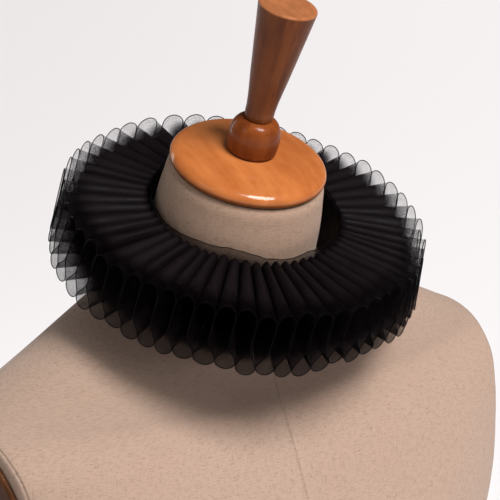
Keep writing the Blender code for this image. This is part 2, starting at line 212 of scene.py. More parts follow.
# The neck's linen, above these heights, has aged to this tint.
NECK_TINT_HEIGHTS, NECK_TINT = (0.585, 0.625), (1.06, 1.0, 0.93)

# The camera: how far to the wearer's right, above and rolled, the point that it is set by, its scale there in
# pixels a metre, its distance, and how many pixels right of and below that point the picture's middle lies.
CAMERA_SIDE, CAMERA_ABOVE, CAMERA_ROLL = math.radians(33.0), math.radians(19.3), math.radians(-0.3)
CAMERA_TARGET = (0.0036, -0.0021, 0.66)
CAMERA_SCALE, CAMERA_DISTANCE = 1440.0, 1.3
CAMERA_RIGHT, CAMERA_BELOW = 5.0, 45.0
SENSOR_WIDTH, PICTURE_WIDTH = 36.0, 500.0

# Light: the sky, the sun, and each area light's name, place, target, width, height, power and colour.
SKY_COLOUR, SKY_STRENGTH = (1.0, 0.975, 0.975, 1.0), 0.07
SUN_FROM, SUN_POWER, SUN_ANGLE = (0.14, -0.57, 0.765), 4.05, math.radians(24.0)
SUN_COLOUR = (1.0, 0.99, 0.985)
AREA_LIGHTS = (
    ("overhead", (0.06, -1.05, 2.6), (0.0, 0.0, 0.69), 0.65, 0.45, 8.0, (1.0, 1.0, 1.0)),
    ("side", (-1.7, -0.3, 1.75), (-0.06, 0.0, 0.6), 0.8, 0.8, 3.8, (0.9, 0.95, 1.0)),
    ("edge", (-0.42, 1.4, 1.05), (0.0, 0.0, 0.72), 0.28, 1.0, 3.0, (1.0, 1.0, 1.0)),
)
FLOOR_REACH = 20.0


def number(name, description, default, **more):
    """A number that a user can change."""
    return bpy.props.FloatProperty(name=name, description=description, default=default, **more)


def metres(name, description, default):
    """A length that a user can change."""
    return number(name, description, default, unit="LENGTH", precision=5)


def tone(name, description, default):
    """A colour that a user can change."""
    return bpy.props.FloatVectorProperty(
        name=name, description=description, default=default, subtype="COLOR", size=3)


class RuffSizes(bpy.types.PropertyGroup):
    """Sizes of the ruffle, its hem and the neckband."""

    pleats: bpy.props.IntProperty(
        name="Pleats", description="Figure-eight folds round the neck", default=55, min=8)
    pleat_height: metres("Pleat height", "From the top of a crest to the foot of a trough", 0.043)
    root_radius: metres("Root radius", "From the neck's middle to where the pleats are sewn on", 0.068)
    edge_radius: metres("Edge radius", "From the neck's middle to the hem at its crests", 0.127)
    lower_flare: metres("Lower flare", "How much further out the hem lies at its troughs", 0.004)
    fullness: number("Fullness", "Size of the pleats' swing to either side", 1.146)
    front_density: number("Front density", "How much closer the pleats stand in front", 0.1)
    back_opening: number("Back opening", "Half the angle left open at the back", 0.04, unit="ROTATION")
    unevenness: number("Unevenness", "How uneven the hand-set pleats are, 0 for even", 1.0)
    cloth: metres("Cloth thickness", "Thickness of the organza", 0.00012)
    hem: metres("Hem radius", "Radius of the rolled hem", 0.00034)
    band_radius: metres("Band radius", "Radius of the neckband", 0.0672)
    thread_pitch: metres("Thread pitch", "Distance between threads of the organza", 0.00042)


class Finishes(bpy.types.PropertyGroup):
    """Colours of the cloth, the wood and the wire."""

    organza: tone("Organza", "Thread of the ruffle", (0.005, 0.0031, 0.004))
    band: tone("Band", "Thread of the neckband", (0.006, 0.0045, 0.0048))
    hem: tone("Hem", "Rolled hems and tacking thread", (0.0012, 0.0009, 0.001))
    linen: tone("Linen", "Cover of the form", (0.45, 0.317, 0.246))
    linen_shade: tone("Linen slub", "Darker threads of the cover", (0.215, 0.135, 0.09))
    cap: tone("Cap", "Varnished wood of the neck cap", (0.49, 0.16, 0.044))
    cap_grain: tone("Cap grain", "Darker grain of the neck cap", (0.37, 0.1, 0.022))
    knob: tone("Knob", "Wood of the knob", (0.225, 0.055, 0.0105))
    knob_grain: tone("Knob grain", "Darker grain of the knob", (0.135, 0.03, 0.0065))
    grip: tone("Grip", "Wood of the grip", (0.175, 0.05, 0.013))
    grip_grain: tone("Grip grain", "Darker grain of the grip", (0.095, 0.024, 0.008))
    grip_end: tone("Grip end", "Cut grain on top of the grip", (0.4, 0.14, 0.052))
    plate: tone("Armhole plate", "Wood of the armhole plates", (0.105, 0.036, 0.012))
    wire: tone("Hook wire", "Japanned wire of the hooks and eyes", (0.02, 0.02, 0.022))
    floor: tone("Floor", "The studio floor", (0.85, 0.822, 0.828))


def leaning_frame(lean, shift=(0.0, 0.0)):
    """Its z axis leans forward by lean and sideways by SIDE_LEAN, from the middle of the ruff's top."""
    place = Matrix.Translation((*shift, RUFF_TOP_HEIGHT))
    return np.array(place @ Matrix.Rotation(SIDE_LEAN, 4, "Y") @ Matrix.Rotation(lean, 4, "X"))


def placed(points, matrix):
    """The points turned and then moved, as the matrix says."""
    return points @ matrix[:3, :3].T + matrix[:3, 3]


def polar(radius, angle, height):
    """Points at these angles round the ruff, 0 towards -Y and growing towards +X."""
    return np.stack(np.broadcast_arrays(radius * np.sin(angle), -radius * np.cos(angle), height), axis=-1)


def unit(vectors):
    """The vectors, each divided by its length."""
    return vectors / np.linalg.norm(vectors, axis=-1, keepdims=True)


def step_lengths(points, axis):
    """The distances between neighbouring points along this axis of the grid."""
    return np.linalg.norm(np.diff(points, axis=axis), axis=-1)


def running(steps):
    """0, and then the sum of the steps up to each one."""
    return np.concatenate([np.zeros((*steps.shape[:-1], 1)), np.cumsum(steps, axis=-1)], axis=-1)


def eased(values, at):
    """Values at whole numbers, joined by half a cosine wave from each to the next."""
    at = np.clip(at, 0.0, len(values) - 1.000001)
    low = at.astype(int)
    share = 0.5 - 0.5 * np.cos(np.pi * (at - low))
    return values[low] * (1 - share) + values[low + 1] * share


def smooth_through(keys, count):
    """A count of rows, evenly spaced on a cubic curve through the key rows [row, column, value].

    Its slope at a key row is the mean of those on both sides, each weighted by the other side's length.
    """
    span = step_lengths(keys, 0).mean(axis=1)
    at = running(span)
    step = np.diff(keys, axis=0) / span[:, None, None]
    weight = (span[1:] / (span[1:] + span[:-1]))[:, None, None]
    slope = np.concatenate([step[:1], step[:-1] * weight + step[1:] * (1 - weight), step[-1:]])
    where = np.linspace(0.0, at[-1], count)
    low = np.clip(np.searchsorted(at, where, "right") - 1, 0, len(span) - 1)
    t = ((where - at[low]) / span[low])[:, None, None]
    span = span[low][:, None, None]
    return ((2 * t**3 - 3 * t**2 + 1) * keys[low] + (t**3 - 2 * t**2 + t) * span * slope[low]
            + (3 * t**2 - 2 * t**3) * keys[low + 1] + (t**3 - t**2) * span * slope[low + 1])


def smooth_table(table, rows_per_key):
    """The table's rows with more rows between them, on a smooth curve."""
    return smooth_through(np.array(table)[:, None], rows_per_key * len(table))[:, 0]


def along_table(table, degrees):
    """The table's other columns at these values of its first, on a smooth curve through its rows."""
    curve = smooth_table(table, TABLE_ROWS)
    return [np.interp(degrees, curve[:, 0], column) for column in curve.T[1:]]


def fold_wave(folds):
    """The angle of the pleats' wave at a count of folds: a whole turn a fold, 0 at a crest."""
    return 2 * math.pi * (folds - 0.25)


def fold_angle(folds, sizes):
    """The angle round the ruff at a count of folds.

    It is the even angle less density * sin(angle), found by putting the angle back into that sum.
    """
    even = (2 * math.pi - 2 * sizes.back_opening) * (folds / sizes.pleats - 0.5)
    angle = even
    for _ in range(20):
        angle = even - sizes.front_density * np.sin(angle)
    return angle


def swing(wave):
    """The sum of the swing's sizes times the sines of once, twice and more times the wave."""
    return sum(size * np.sin(times * wave) for times, size in enumerate(PLEAT_SWING, start=1))


def small_waves(table, angle):
    """The sum of each size times the sine of its count times the angle plus its phase."""
    return sum(size * np.sin(count * angle + phase) for size, count, phase in table)


def ruffle_points(sizes):
    """The strip's middle surface [row from root to hem, column along the strip, xyz], in the ruff's frame.

    Along the strip the height goes as the cosine of the wave, and the place round the neck as the count of
    folds, plus its swing, which rounds crests and troughs into a figure eight, plus the table's drift. From
    root to hem the points run straight but for a slight sag and wander. Each crest and trough has its own
    small difference in height, reach, place and sag, eased from each to the next.
    """
    rng = np.random.default_rng(DIFFERENCE_SEED)
    own = {}
    for name, size in OWN_DIFFERENCES.items():
        values = np.clip(rng.normal(0.0, 1.0, 2 * sizes.pleats + 2), -MOST_DEVIATION, MOST_DEVIATION)
        own[name] = values * sizes.unevenness * size
    folds = np.linspace(0.0, sizes.pleats, sizes.pleats * COLUMNS_PER_FOLD + 1)
    wave = fold_wave(folds)
    rise = np.cos(wave)
    crest = 0.5 + 0.5 * rise
    level = 0.5 * sizes.pleat_height * (rise - 1.0)
    # Where a wall stands once it has swung: drifts are read there, so that neighbouring walls never cross.
    stand = folds + sizes.fullness * swing(wave)
    # The counts of crests and troughs, two to a fold, by the strip and by where it stands.
    turn, stand_turn = 2 * folds + 0.5, 2 * stand + 0.5
    drift_crest, drift_trough, hang_crest, hang_trough = along_table(
        HEM_DRIFT, np.degrees(fold_angle(stand, sizes)))
    drift = drift_trough + (drift_crest - drift_trough) * crest
    hang = MILLIMETRE * (hang_trough + (hang_crest - hang_trough) * crest)
    edge_angle = fold_angle(stand + drift + eased(own["place"], stand_turn), sizes)
    root_angle = fold_angle(
        stand + 0.5 * (drift_crest + drift_trough) + eased(own["root place"], stand_turn), sizes)
    reach = sizes.edge_radius + sizes.lower_flare * (1.0 - crest) + eased(own["reach"], turn)
    edge_height = level - hang + eased(own["height"], turn) * np.abs(rise)
    low_root = np.clip(np.cos(root_angle - LOW_ROOT_ANGLE), 0.0, 1.0) ** 2
    root_height = level - crest * (np.abs(eased(own["root height"], turn)) + LOW_ROOT_DROP * low_root)
    root = polar(sizes.root_radius, root_angle, root_height)
    edge = polar(reach, edge_angle, edge_height)
    share = np.linspace(0.0, 1.0, RUFFLE_ROWS)[:, None]
    surface = root + (edge - root) * share[..., None]
    bulge = np.sin(np.pi * share)
    angle = edge_angle * share + root_angle * (1 - share)
    sideways = bulge * eased(own["wander"], stand_turn)
    surface[..., 0] += sideways * np.cos(angle)
    surface[..., 1] += sideways * np.sin(angle)
    surface[..., 2] += bulge * (eased(own["sag"], turn) - EVEN_SAG)
    return surface


def cloth_map(surface):
    """A map of the cloth in metres: u along the strip, by the mean length of its rows, and v across it."""
    u = running(step_lengths(surface, 1).mean(axis=0))
    v = running(step_lengths(surface, 0).mean(axis=1))
    return np.stack(np.broadcast_arrays(u[None, :], v[:, None]), axis=-1)


def tube_rings(path, radius, sides, across):
    """Rings of round tubes along paths of points [..., point, xyz], as [..., point, side, xyz].

    A ring is the path's point plus the radius times the cosine of a turn along across, made square to the
    path, and its sine along the direction square to both.
    """
    tangent = unit(np.gradient(path, axis=-2))
    first = unit(across - (across * tangent).sum(axis=-1, keepdims=True) * tangent)
    second = np.cross(tangent, first)
    turn = (np.arange(sides) * 2 * math.pi / sides)[:, None]
    ring = np.cos(turn) * first[..., None, :] + np.sin(turn) * second[..., None, :]
    return path[..., None, :] + radius * ring


def oval(half_width, half_depth, squareness, segments):
    """A ring |x/a|^n + |y/b|^n = 1 in the x-y plane, n the squareness, 2 for an ellipse."""
    angle = np.arange(segments) * 2 * math.pi / segments - math.pi / 2
    power = 2.0 / squareness
    x = half_width * np.sign(np.cos(angle)) * np.abs(np.cos(angle)) ** power
    y = half_depth * np.sign(np.sin(angle)) * np.abs(np.sin(angle)) ** power
    return np.stack([x, y, 0 * angle], axis=-1)


def new_object(name, data, matrix=None):
    """An object of the scene that holds this mesh, light or camera."""
    obj = bpy.data.objects.new(name, data)
    if matrix is not None:
        obj.matrix_world = matrix
    bpy.context.scene.collection.objects.link(obj)
    return obj


def mesh_object(name, points, faces, material):
    """A smooth mesh of these points and faces, at the origin."""
    mesh = bpy.data.meshes.new(name)
    mesh.from_pydata(points.reshape(-1, 3).tolist(), [], faces)
    mesh.shade_smooth()
    mesh.materials.append(material)
    return new_object(name, mesh)


def surface_object(name, grid, material, uv=None, closed=False, capped=False):
    """A smooth mesh through a grid of points [row, column, xyz].

    closed joins the last column to the first, and capped closes the first and last rows with a flat face.
    Faces of a closed, capped piece point outwards. uv has one column more than a closed grid.
    """
    rows, columns = grid.shape[:2]
    index = np.arange(rows * columns).reshape(rows, columns)
    if closed:
        index = np.concatenate([index, index[:, :1]], axis=1)
    if uv is None:
        uv = np.stack(np.meshgrid(np.linspace(0, 1, index.shape[1]), np.linspace(0, 1, rows)), axis=-1)
    here, after = slice(None, -1), slice(1, None)
    corners = ((here, here), (here, after), (after, after), (after, here))
    quads = np.stack([index[c] for c in corners], axis=-1).reshape(-1, 4)
    quad_uv = np.stack([uv[c] for c in corners], axis=-2).reshape(-1, 4, 2)
    points = grid.reshape(-1, 3)
    triangles = np.concatenate([quads[:, :3], quads[:, [0, 2, 3]]])
    centred = points - points.mean(axis=0)
    first, last = index[0, :columns], index[-1, :columns]
    if capped and np.linalg.det(centred[triangles]).sum() < 0:
        quads, quad_uv = quads[:, ::-1], quad_uv[:, ::-1]
        last = last[::-1]
    else:
        first = first[::-1]
    faces = quads.tolist()
    face_uv = [quad_uv.reshape(-1, 2)]
    if capped:
        faces += [first.tolist(), last.tolist()]
        face_uv += [np.tile(uv[0, :1], (columns, 1)), np.tile(uv[-1, :1], (columns, 1))]
    piece = mesh_object(name, points, faces, material)
    layer = piece.data.uv_layers.new(name="cloth")
    layer.data.foreach_set("uv", np.concatenate(face_uv).astype(np.float32).ravel())
    piece.data.set_sharp_from_angle(angle=SHARP_ANGLE)
    return piece


def joined_object(name, grids, material):
    """One mesh of many closed, capped tubes of the same size [tube, row, column, xyz]."""
    tubes, rows, columns = grids.shape[:3]
    index = np.arange(rows * columns).reshape(rows, columns)
    after = np.roll(index, -1, axis=1)
    quads = np.stack([index[:-1], after[:-1], after[1:], index[1:]], axis=-1).reshape(-1, 4)
    shift = (np.arange(tubes) * rows * columns)[:, None]
    faces = (quads + shift[..., None]).reshape(-1, 4).tolist()
    faces += (index[0][::-1] + shift).tolist() + (index[-1] + shift).tolist()
    return mesh_object(name, grids, faces, material)


def add_attribute(obj, name, values):
    """A vector kept at each point of the mesh, which a material reads."""
    layer = obj.data.attributes.new(name, "FLOAT_VECTOR", "POINT")
    layer.data.foreach_set("vector", np.asarray(values, np.float32).ravel())


def thicken(obj, thickness):
    """Gives the cloth its wall, half on each side of the surface."""
    wall = obj.modifiers.new("wall", "SOLIDIFY")
    wall.thickness = thickness
    wall.offset = 0.0
    wall.use_rim = True
    wall.use_even_offset = False


def fix(piece, node=None):
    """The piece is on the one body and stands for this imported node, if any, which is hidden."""
    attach(piece, "root")
    if node:
        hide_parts(node)


def shader_input(tree, key):
    """The shader's input of this name, with _ for a space."""
    return tree.nodes["Principled BSDF"].inputs[key.replace("_", " ")]


def new_material(name, roughness, **settings):
    """A material and its nodes, with settings for the inputs of its shader."""
    material = bpy.data.materials.new(name)
    material.use_nodes = True
    for key, value in {"Roughness": roughness, **settings}.items():
        shader_input(material.node_tree, key).default_value = value
    return material, material.node_tree


def add_node(tree, kind, sockets=(), **settings):
    """A node with its settings and its inputs, each input a number, a colour or another node's output."""
    node = tree.nodes.new(kind)
    for key, value in settings.items():
        setattr(node, key, value)
    for key, value in dict(sockets).items():
        if isinstance(value, bpy.types.NodeSocket):
            tree.links.new(value, node.inputs[key])
        else:
            node.inputs[key].default_value = value
    return node


def finish_with(tree, **sockets):
    """Leads these outputs into the shader's inputs."""
    for key, value in sockets.items():
        tree.links.new(value, shader_input(tree, key))


def calc(tree, operation, a, b=0.0, c=0.0):
    """The operation on a, b and c."""
    return add_node(tree, "ShaderNodeMath", {0: a, 1: b, 2: c}, operation=operation).outputs[0]


def split(tree, vector):
    """The vector's parts, by the names X, Y and Z."""
    return add_node(tree, "ShaderNodeSeparateXYZ", {"Vector": vector}).outputs


def attribute(tree, name):
    """The vector kept at each point of the mesh under this name."""
    return add_node(tree, "ShaderNodeAttribute", attribute_name=name).outputs["Vector"]


def object_place(tree):
    """The place on the piece, in metres."""
    return add_node(tree, "ShaderNodeTexCoord").outputs["Object"]


def ramp(tree, value, low, high, to_low=0.0, to_high=1.0):
    """value eased from to_low at low to to_high at high."""
    sockets = {"Value": value, "From Min": low, "From Max": high, "To Min": to_low, "To Max": to_high}
    return add_node(tree, "ShaderNodeMapRange", sockets, interpolation_type="SMOOTHSTEP").outputs["Result"]


def mix_colour(tree, factor, a, b, blend="MIX"):
    """a blended with b by the factor; each is three numbers or another node's output."""
    a, b = (c if isinstance(c, bpy.types.NodeSocket) else (*c, 1.0) for c in (a, b))
    return add_node(tree, "ShaderNodeMix", {0: factor, 6: a, 7: b},
                    data_type="RGBA", blend_type=blend).outputs[2]


def tinted(colour, share):
    """The colour times this share, or times a share for each of its three parts."""
    return np.multiply(colour, share).tolist()


def noise(tree, vector, scale, detail=3.0, roughness=0.55, stretch=None):
    """Noise between 0 and 1 at this many cells a metre, stretched by a scale along each axis."""
    if stretch is not None:
        vector = add_node(tree, "ShaderNodeMapping", {"Vector": vector, "Scale": stretch}).outputs[0]
    sockets = {"Vector": vector, "Scale": scale, "Detail": detail, "Roughness": roughness}
    return add_node(tree, "ShaderNodeTexNoise", sockets).outputs["Fac"]


def bump(tree, height, distance, strength):
    """Raises the surface's look by the distance where height is 1."""
    node = add_node(tree, "ShaderNodeBump", {"Height": height, "Distance": distance, "Strength": strength})
    finish_with(tree, Normal=node.outputs["Normal"])


def cloth_axes(tree):
    """u and v of the cloth's own map, in metres, and the map as a vector."""
    source = add_node(tree, "ShaderNodeUVMap", uv_map="cloth").outputs["UV"]
    parts = split(tree, source)
    return parts["X"], parts["Y"], source


def thread(tree, along, pitch, half_width, soft):
    """1 on a thread and 0 between threads, which lie a pitch apart across this axis."""
    step = calc(tree, "FRACT", calc(tree, "MULTIPLY", along, 1.0 / pitch))
    off = calc(tree, "ABSOLUTE", calc(tree, "SUBTRACT", step, 0.5))
    return ramp(tree, off, half_width - soft, half_width + soft, 1.0, 0.0)


def sheer_material(name, colour, pitch, cover, film, trough_shade_film=None):
    """Sheer plain-weave cloth: two sets of threads with open holes between them.

    The holes hold a film of fine fibre, and trough_shade_film is that of the troughs, whose extra film, most
    of all in front, is painted shade. The cloth's fold attribute keeps the share of trough and of front.
    """
    material, tree = new_material(name, 0.6, Specular_IOR_Level=0.06)
    u, v, source = cloth_axes(tree)
    drift = noise(tree, source, 900.0, 2.0)
    drift_u, drift_v = (calc(tree, "MULTIPLY_ADD", drift, pitch * 0.9, axis) for axis in (u, v))
    warp = thread(tree, drift_u, pitch, cover / 2, cover * 0.35)
    weft = thread(tree, drift_v, pitch * 1.07, cover / 2, cover * 0.35)
    threads = calc(tree, "MAXIMUM", warp, weft)
    shade = noise(tree, source, 55.0, 3.0)
    inward, thins_from, thins_to, at_edge = film
    fibre = ramp(tree, v, thins_from, thins_to, inward, at_edge)
    # Painted shade: the troughs get denser film, most of all in front, to darken the leaf loops over the
    # form's shadow.
    if trough_shade_film:
        inward, thins_from, thins_to, at_back_edge, at_front_edge = trough_shade_film
        fold = split(tree, attribute(tree, "fold"))
        at_edge = ramp(tree, fold["Y"], 0.0, 1.0, at_back_edge, at_front_edge)
        below = ramp(tree, v, thins_from, thins_to, inward, at_edge)
        more = calc(tree, "SUBTRACT", below, fibre)
        fibre = calc(tree, "ADD", fibre, calc(tree, "MULTIPLY", more, ramp(tree, fold["X"], 0.35, 0.75)))
    beside_threads = calc(tree, "MULTIPLY_ADD", threads, -0.9, 1.0)
    open_part = calc(tree, "MULTIPLY", calc(tree, "SUBTRACT", 1.0, fibre), beside_threads)
    finish_with(tree, Alpha=calc(tree, "SUBTRACT", 1.0, open_part),
                Base_Color=mix_colour(tree, shade, tinted(colour, 0.75), tinted(colour, 1.35)),
                Roughness=ramp(tree, shade, 0.3, 0.7, 0.42, 0.6))
    bump(tree, threads, 0.00006, 0.5)
    return material


def thread_material(name, colour):
    """Black sewing thread and rolled edges: fine twist and a soft gloss."""
    material, tree = new_material(name, 0.38, Specular_IOR_Level=0.025)
    twist = noise(tree, object_place(tree), 1400.0, 2.0)
    finish_with(tree, Base_Color=mix_colour(tree, twist, colour, tinted(colour, 1.8)),
                Roughness=ramp(tree, twist, 0.3, 0.7, 0.38, 0.5))
    bump(tree, twist, 0.00004, 0.3)
    return material


def linen_material(colours):
    """Natural linen drawn tight: plain weave, slubs, flecks, pulled threads, faint soiling and seams."""
    material, tree = new_material(
        "cover_linen", 0.9, Sheen_Weight=0.12, Sheen_Roughness=0.5, Specular_IOR_Level=0.2)
    linen, dark = colours.linen, colours.linen_shade
    u, v, source = cloth_axes(tree)
    wander = noise(tree, source, 260.0, 2.0)
    # Each set of threads is a sine over its pitch, bent by the wander, and the weave is their product.
    weft, warp = (
        calc(tree, "SINE", calc(tree, "MULTIPLY_ADD", wander, 3.0,
                                calc(tree, "MULTIPLY", axis, 2 * math.pi / pitch)))
        for axis, pitch in ((v, LINEN_WEFT_PITCH), (u, LINEN_WARP_PITCH)))
    weave = calc(tree, "MULTIPLY", weft, warp)
    slub_weft = noise(tree, source, 1.0, 4.0, 0.7, (190.0, 1250.0, 1.0))
    slub_warp = noise(tree, source, 1.0, 4.0, 0.7, (1250.0, 170.0, 1.0))
    fleck = noise(tree, source, 700.0, 2.0, 0.7)
    soil = ramp(tree, noise(tree, source, 9.0, 3.0), 0.35, 0.65, 0.0, 0.22)
    base = mix_colour(tree, soil, linen, tinted(linen, (0.93, 0.88, 0.8)))
    for found, low, high, to_low, to_high in (
            (slub_weft, 0.48, 0.72, 0.0, 0.66), (slub_warp, 0.5, 0.74, 0.0, 0.58),
            (fleck, 0.6, 0.72, 0.0, 0.78), (weave, -0.9, 0.9, 0.14, 0.0)):
        base = mix_colour(tree, ramp(tree, found, low, high, to_low, to_high), base, dark)
    # Here and there a thread is pulled, in short stretches along each way of the cloth.
    for axis, pitch, stretch in ((v, 0.0047, (40.0, 210.0, 1.0)), (u, 0.0061, (190.0, 48.0, 1.0))):
        bent = calc(tree, "MULTIPLY_ADD", wander, 0.0002, axis)
        found = ramp(tree, noise(tree, source, 1.0, 2.0, 0.5, stretch), 0.6, 0.68, 0.0, 0.3)
        pulled = calc(tree, "MULTIPLY", thread(tree, bent, pitch, 0.05, 0.04), found)
        base = mix_colour(tree, pulled, base, dark)
    # The seams attribute keeps the distances from the front's, the sides' and the armholes' seams.
    distances = split(tree, attribute(tree, "seams"))
    seam = 0.0
    for axis, width in SEAM_WIDTHS:
        near = ramp(tree, calc(tree, "ABSOLUTE", distances[axis]), width * 0.4, width * 2.2, 1.0, 0.0)
        seam = calc(tree, "MAXIMUM", near, seam)
    stitch = ramp(tree, noise(tree, source, 420.0, 2.0), 0.4, 0.58, 0.05, 1.0)
    sunk = calc(tree, "MULTIPLY", calc(tree, "MULTIPLY", seam, stitch), 0.4)
    base = mix_colour(tree, sunk, base, dark)
    neck = ramp(tree, split(tree, object_place(tree))["Z"], *NECK_TINT_HEIGHTS)
    base = mix_colour(tree, neck, base, NECK_TINT, "MULTIPLY")
    finish_with(tree, Base_Color=base, Roughness=ramp(tree, slub_weft, 0.3, 0.7, 0.95, 0.8))
    height = calc(tree, "ADD", calc(tree, "MULTIPLY", weave, 0.35), calc(tree, "ADD", slub_weft, slub_warp))
    bump(tree, calc(tree, "MULTIPLY_ADD", seam, -3.0, height), 0.00022, 0.8)
    return material


def wood_material(name, colour, grain, roughness, stretch, coat, pores=0.5, painted_shade=None, end=None):
    """Varnished wood: grain stretched along the piece's own axes, darker pores and a clear coat.

    painted_shade is the pair of heights on the piece between which it darkens downwards, as painted shade and
    a painted reflection of the dark ruff below, and end is a height and the colour of the cut grain above it.
    """
    material, tree = new_material(
        name, roughness, Coat_Weight=coat, Coat_Roughness=0.05, Specular_IOR_Level=0.06)
    source = attribute(tree, "turning")
    bands = noise(tree, source, 1.0, 4.0, 0.6, stretch)
    fine = noise(tree, source, 1.0, 3.0, 0.65, tinted(stretch, 6.0))
    blotch = noise(tree, source, 38.0, 3.0)
    base = mix_colour(tree, ramp(tree, bands, 0.34, 0.66), colour, grain)
    base = mix_colour(tree, ramp(tree, fine, 0.55, 0.75, 0.0, pores), base, tinted(grain, 0.7))
    base = mix_colour(tree, ramp(tree, blotch, 0.35, 0.7, 0.0, 0.35), base, tinted(colour, 1.25))
    height = split(tree, source)["Z"]
    if end:
        from_height, cut_colour = end
        rings = noise(tree, source, 1.0, 3.0, 0.6, (300.0, 90.0, 30.0))
        cut = mix_colour(tree, ramp(tree, rings, 0.35, 0.65), cut_colour, tinted(cut_colour, 0.78))
        base = mix_colour(tree, ramp(tree, height, from_height - 0.0004, from_height + 0.0002), base, cut)
    # Painted shade: the piece darkens downwards, as its down-facing rim lies in shade and mirrors the black
    # ruff.
    if painted_shade:
        base = mix_colour(tree, ramp(tree, height, *painted_shade, 0.8, 0.0), base, tinted(grain, 0.42))
    finish_with(tree, Base_Color=base,
                Roughness=ramp(tree, fine, 0.3, 0.7, roughness * 0.8, roughness * 1.3))
    bump(tree, calc(tree, "ADD", fine, blotch), 0.0001, 0.35)
    return material


def wire_material(colour):
    """Japanned wire: black lacquer with small worn spots."""
    material, tree = new_material("japanned_wire", 0.3, Metallic=0.6, Coat_Weight=0.6)
    worn = noise(tree, object_place(tree), 900.0, 3.0)
    spots = ramp(tree, worn, 0.62, 0.72)
    finish_with(tree, Base_Color=mix_colour(tree, spots, colour, (0.2, 0.17, 0.14)),
                Roughness=ramp(tree, worn, 0.3, 0.7, 0.25, 0.45))
    bump(tree, worn, 0.00005, 0.4)
    return material


class RUFF_OT_ruffle(bpy.types.Operator):
    """Makes the pleated organza strip and its rolled hem."""

    bl_idname = "ruff_collar.ruffle"
    bl_label = "Pleated Ruffle"

    def execute(self, context):
        sizes, colours = context.scene.ruff_sizes, context.scene.ruff_finishes
        local = ruffle_points(sizes)
        surface = placed(local, leaning_frame(RUFF_LEAN, RUFF_OFF_NECK))
        cloth = sheer_material(
            "organza_sheer", colours.organza, sizes.thread_pitch, RUFFLE_COVER, RUFFLE_FILM, TROUGH_SHADE_FILM)
        ruffle = surface_object("ruffle_cloth", surface, cloth, cloth_map(local))
        folds = np.arange(surface.shape[1]) / COLUMNS_PER_FOLD
        trough = 0.5 - 0.5 * np.cos(fold_wave(folds))
        # The front share marks where the troughs' film is thickened most, as painted shade.
        off_front = np.abs(np.degrees(fold_angle(folds, sizes)) - FRONT_MIDDLE)
        front = np.clip((FRONT_REACH - off_front) / FRONT_FADE, 0.0, 1.0)
        fold = np.stack([trough, front, 0 * front], axis=1)
        add_attribute(ruffle, "fold", np.tile(fold, (len(surface), 1)))
        thicken(ruffle, sizes.cloth)
        rings = tube_rings(surface[-1], sizes.hem, HEM_SIDES, surface[-1] - surface[-2])
        hem = surface_object("ruffle_rolled_hem", rings, thread_material("hem_roll", colours.hem),
                             closed=True, capped=True)
        fix(ruffle, "ruffle_strip")
        fix(hem)
        return {"FINISHED"}


def band_surface(sizes):
    """The standing neckband [row from foot to free edge, column round it, xyz], in the ruff's frame.

    A ring of one radius, whose rows lie at even shares of the height from the pleats' feet to the free
    edge, with small waves in that edge's height and in the radius of what stands free of the roots.
    """
    half_gap = BAND_HALF_OPENING / sizes.band_radius
    angle = np.linspace(-math.pi + half_gap, math.pi - half_gap, BAND_COLUMNS)
    edge, = along_table(BAND_EDGE, np.degrees(angle))
    top = MILLIMETRE * edge + small_waves(BAND_EDGE_WAVES, angle)
    share = np.linspace(0.0, 1.0, BAND_ROWS)[:, None]
    height = -sizes.pleat_height + (top + sizes.pleat_height) * share
    free = np.clip((height - BAND_FREE_FROM) / BAND_FREE_OVER, 0.0, 1.0)
    radius = sizes.band_radius + free * small_waves(BAND_FREE_WAVES, angle)
    return polar(radius, angle + 0 * share, height)


def stitch_rings(sizes):
    """Short slanting bars of thread that lie inside the band beside each root, at crests and troughs."""
    folds = np.arange(sizes.pleats - 1) + 0.25
    bars = [np.broadcast_arrays(fold_angle(folds + past, sizes), height) for past, height in STITCH_ROWS]
    middle, height = np.concatenate(bars, axis=1)[..., None]
    along = np.linspace(-1.0, 1.0, STITCH_POINTS)
    radius = sizes.band_radius - STITCH_INSIDE - STITCH_BULGE * (1 - along**4)
    path = polar(radius, middle + along * STITCH_HALF_LENGTH / sizes.band_radius,
                 height + STITCH_SLANT * along)
    across = np.cross(np.gradient(path, axis=-2), (0.0, 0.0, 1.0))
    return tube_rings(path, STITCH_RADIUS, STITCH_SIDES, across)


class RUFF_OT_neckband(bpy.types.Operator):
    """Makes the sheer neckband, its rolled edge and the tacking stitches that hold the pleats."""

    bl_idname = "ruff_collar.neckband"
    bl_label = "Neckband"

    def execute(self, context):
        sizes, colours = context.scene.ruff_sizes, context.scene.ruff_finishes
        matrix = leaning_frame(RUFF_LEAN, RUFF_OFF_NECK)
        local = band_surface(sizes)
        surface = placed(local, matrix)
        cloth = sheer_material(
            "organza_band", colours.band, sizes.thread_pitch * BAND_PITCH_SHARE, BAND_COVER, BAND_FILM)
        band = surface_object("neckband_cloth", surface, cloth, cloth_map(local))
        thicken(band, sizes.cloth)
        sewing = thread_material("tacking_thread", colours.hem)
        rings = tube_rings(
            surface[-1], sizes.hem * BAND_HEM_SHARE, HEM_SIDES, surface[-1] - surface[-2])
        hem = surface_object("neckband_rolled_edge", rings, sewing, closed=True, capped=True)
        stitches = joined_object("tacking_stitches", placed(stitch_rings(sizes), matrix), sewing)
        fix(band, "neckband")
        fix(hem)
        fix(stitches)
        return {"FINISHED"}


def wire_route(radius, reach, start):
    """A straight leg, half a circle and a second straight leg in the x-z plane."""
    turn = math.radians(start) + np.linspace(0.0, math.pi, BEND_POINTS)
    bend = np.stack([radius * np.cos(turn), 0 * turn, radius * np.sin(turn)], axis=1)
    share = np.linspace(0.0, 1.0, LEG_POINTS + 1)[:-1, None]
    first = np.array([reach, 0.0, bend[0, 2]]) * (1 - share) + bend[0] * share
    last = np.array([reach, 0.0, bend[-1, 2]]) * (1 - share[::-1]) + bend[-1] * share[::-1]
    return np.concatenate([first, bend, last])


